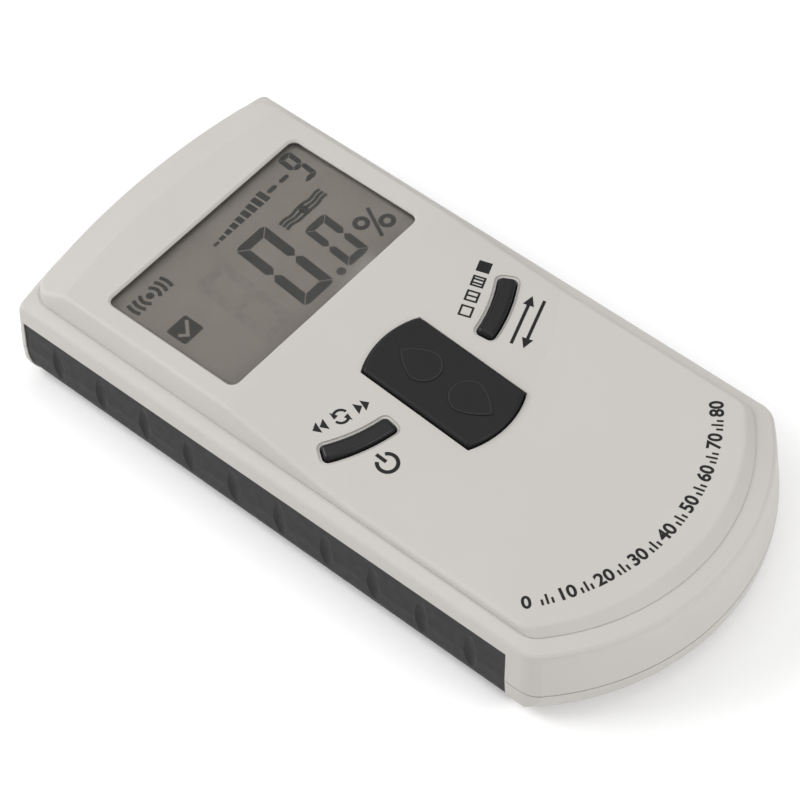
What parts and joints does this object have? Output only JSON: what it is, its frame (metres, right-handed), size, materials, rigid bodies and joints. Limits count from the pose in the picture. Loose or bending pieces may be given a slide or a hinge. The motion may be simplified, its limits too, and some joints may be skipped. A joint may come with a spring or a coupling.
{
  "type": "moisture meter",
  "caption": "Hand-held wood moisture meter with a large display, two side keys, a rocker key, rubber side grips and a hinged battery door on the back.",
  "frame": {"origin": "middle of the footprint, on the plane that the sensing pad rests on", "axes": "+Z towards the display side, +Y towards the display end, +X to the right of a person who reads the display"},
  "size_m": [0.0754, 0.155, 0.0254],
  "materials": {
    "casing": "fine matt spark-eroded texture, moulded ABS",
    "grip": "satin black soft-touch elastomer",
    "key": "fine matt black silicone rubber",
    "lens": "clear flat acrylic, polished",
    "lcd": "grey reflective liquid-crystal glass",
    "reflector": "satin foil",
    "frame_plastic": "moulded white plastic",
    "connector": "layered silicone connector",
    "board": "green solder resist",
    "chip": "moulded epoxy package",
    "tin": "tinned metal can",
    "ferrite": "ferrite and enamelled wire",
    "switch": "moulded switch case",
    "plunger": "moulded switch button",
    "pin_steel": "drawn steel wire",
    "screw_steel": "zinc-plated steel",
    "foam": "closed-cell foam",
    "battery_case": "plain printed metal sleeve",
    "contact": "nickel-plated contacts",
    "snap_vinyl": "moulded black vinyl cap",
    "red_wire": "red PVC insulation",
    "black_wire": "black PVC insulation",
    "copper": "bare copper sheet",
    "spring_steel": "plated spring wire",
    "label": "blank satin polyester label"
  },
  "bodies": {
    "casing": {"front_cover": "casing", "rear_cover": "casing", "left_grip": "grip", "right_grip": "grip", "lcd_window": "lens", "lcd_glass": "lcd", "lcd_reflector": "reflector", "lcd_frame": "frame_plastic", "zebra_connector": "connector", "main_board": "board", "microcontroller": "chip", "crystal": "tin", "storage_capacitor": "tin", "sensor_coil": "ferrite", "chip_parts": "chip", "switch_bodies": "switch", "rocker_pin": "pin_steel", "case_screws": "screw_steel", "board_screws": "screw_steel", "sensor_insulator": "foam", "battery": "battery_case", "battery_terminals": "contact", "battery_snap": "snap_vinyl", "red_lead": "red_wire", "black_lead": "black_wire", "sensor_plate": "copper", "sensor_spring": "spring_steel", "rear_label": "label"},
    "mode_key": {"mode_button": "key"},
    "density_key": {"density_button": "key"},
    "rocker": {"rocker_button": "key"},
    "mode_switch": {"mode_plunger": "plunger"},
    "density_switch": {"density_plunger": "plunger"},
    "up_switch": {"up_plunger": "plunger"},
    "down_switch": {"down_plunger": "plunger"},
    "door": {"battery_door": "casing", "battery_foam": "foam"}
  },
  "joints": [
    {"name": "mode_press", "type": "slide", "parent": "casing", "child": "mode_key", "axis": [0, 0, 1], "range_m": [-0.0005, 0], "stiffness_N_per_m": 1200},
    {"name": "density_press", "type": "slide", "parent": "casing", "child": "density_key", "axis": [0, 0, 1], "range_m": [-0.0005, 0], "stiffness_N_per_m": 1200},
    {"name": "rocker_tilt", "type": "hinge", "parent": "casing", "child": "rocker", "pos_m": [0, -0.0088, 0.02], "axis": [1, 0, 0], "range_deg": [-2.4, 2.4], "stiffness_Nm_per_rad": 0.2},
    {"name": "mode_plunge", "type": "slide", "parent": "casing", "child": "mode_switch", "axis": [0, 0, 1], "range_m": [-0.0005, 0]},
    {"name": "density_plunge", "type": "slide", "parent": "casing", "child": "density_switch", "axis": [0, 0, 1], "range_m": [-0.0005, 0]},
    {"name": "up_plunge", "type": "slide", "parent": "casing", "child": "up_switch", "axis": [0, 0, 1], "range_m": [-0.0005, 0.0005]},
    {"name": "down_plunge", "type": "slide", "parent": "casing", "child": "down_switch", "axis": [0, 0, 1], "range_m": [-0.0005, 0.0005]},
    {"name": "door_swing", "type": "hinge", "parent": "casing", "child": "door", "pos_m": [0, -0.0625, 0.0006], "axis": [1, 0, 0], "range_deg": [-70, 0]}
  ],
  "couplings": [
    {"joint": "mode_plunge", "follows": "mode_press", "ratio": 1},
    {"joint": "density_plunge", "follows": "density_press", "ratio": 1},
    {"joint": "up_plunge", "follows": "rocker_tilt", "m_per_rad": 0.0116},
    {"joint": "down_plunge", "follows": "rocker_tilt", "m_per_rad": -0.0116}
  ]
}
